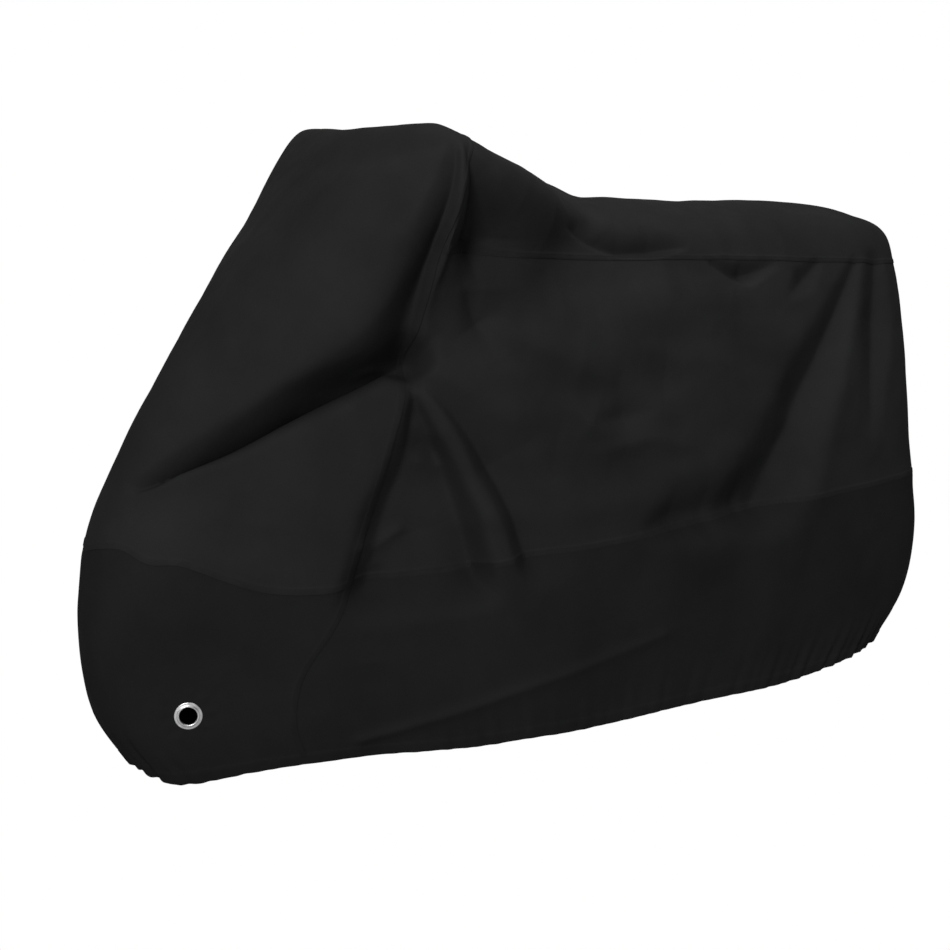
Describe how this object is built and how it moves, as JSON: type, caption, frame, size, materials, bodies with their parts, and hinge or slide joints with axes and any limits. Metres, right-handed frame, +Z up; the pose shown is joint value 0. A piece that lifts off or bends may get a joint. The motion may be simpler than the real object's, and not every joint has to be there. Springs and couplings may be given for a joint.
{
  "type": "motorcycle cover",
  "caption": "Fitted black cloth motorcycle cover, hollow and open below, with a high flat front, a low seat line, a sewn skirt and metal lock eyelets near the hem.",
  "frame": {"origin": "middle of the footprint, level with the lowest point of the hem", "axes": "+Z up, +X towards the vehicle's back, +Y to its right side, the side away from the stand"},
  "size_m": [2.1046, 0.702, 1.3316],
  "materials": {
    "body_cloth": "coated woven polyester with a soft sheen",
    "skirt_cloth": "matt woven polyester, darker than the body",
    "eyelet_steel": "brushed"
  },
  "bodies": {
    "root": {"front_panel": "body_cloth", "top_panel": "body_cloth", "left_panel": "body_cloth", "right_panel": "body_cloth", "skirt_front": "skirt_cloth", "skirt_back": "skirt_cloth", "eyelet_left": "eyelet_steel", "eyelet_right": "eyelet_steel"}
  },
  "joints": []
}
